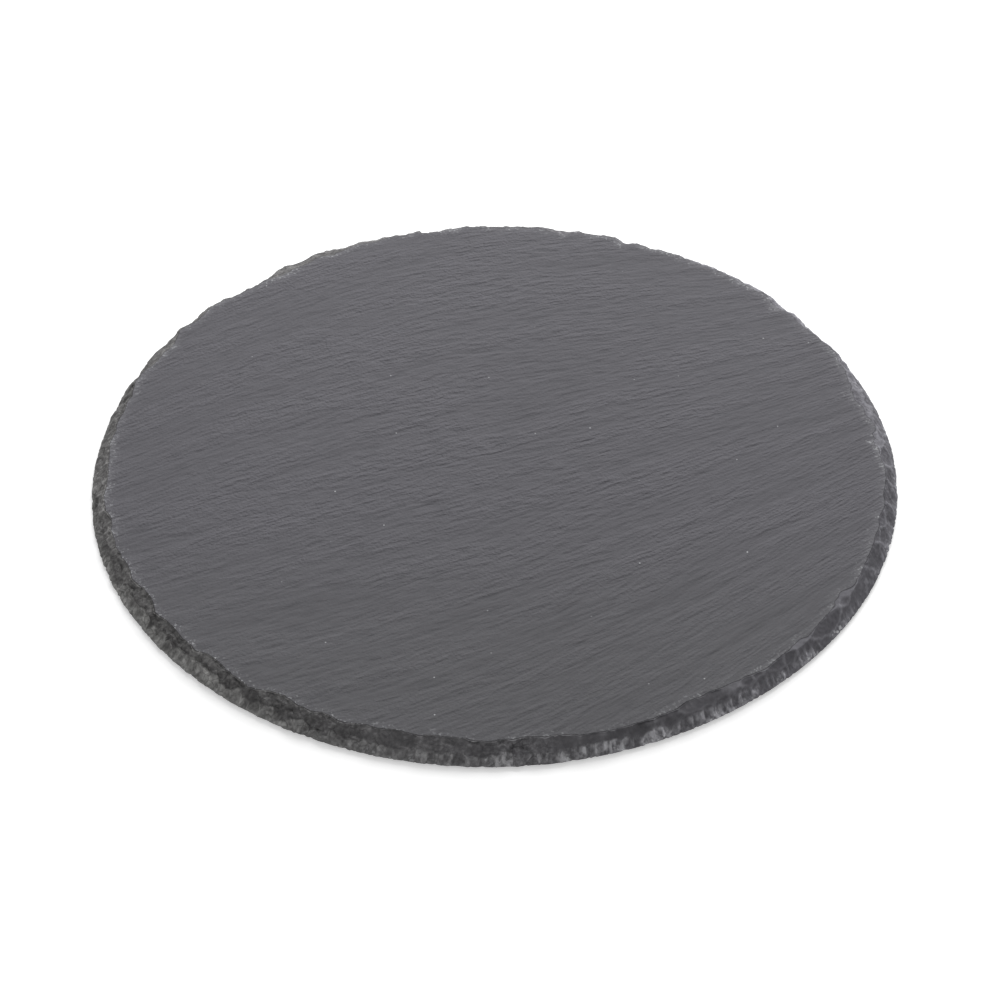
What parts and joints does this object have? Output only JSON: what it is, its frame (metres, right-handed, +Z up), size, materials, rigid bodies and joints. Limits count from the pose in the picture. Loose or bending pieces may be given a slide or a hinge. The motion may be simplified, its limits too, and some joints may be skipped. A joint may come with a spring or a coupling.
{
  "type": "stone serving plate",
  "caption": "Round flat serving plate of dark grey natural slate with a riven face and a knapped, chipped rim, standing on small stick-on foam feet.",
  "frame": {"origin": "on the table, under the middle of the plate", "axes": "+Z up through the serving face; -Y is the side of the rim nearest the viewer in the picture, +X is to the viewer's right"},
  "size_m": [0.2998, 0.2997, 0.0072],
  "materials": {
    "slate": "matte",
    "foam": "matte",
    "adhesive": "satin"
  },
  "bodies": {
    "root": {"slate_plate": "slate", "foot_pad_1": "foam", "foot_pad_2": "foam", "foot_pad_3": "foam", "foot_pad_4": "foam", "foot_adhesive_1": "adhesive", "foot_adhesive_2": "adhesive", "foot_adhesive_3": "adhesive", "foot_adhesive_4": "adhesive"}
  },
  "joints": []
}
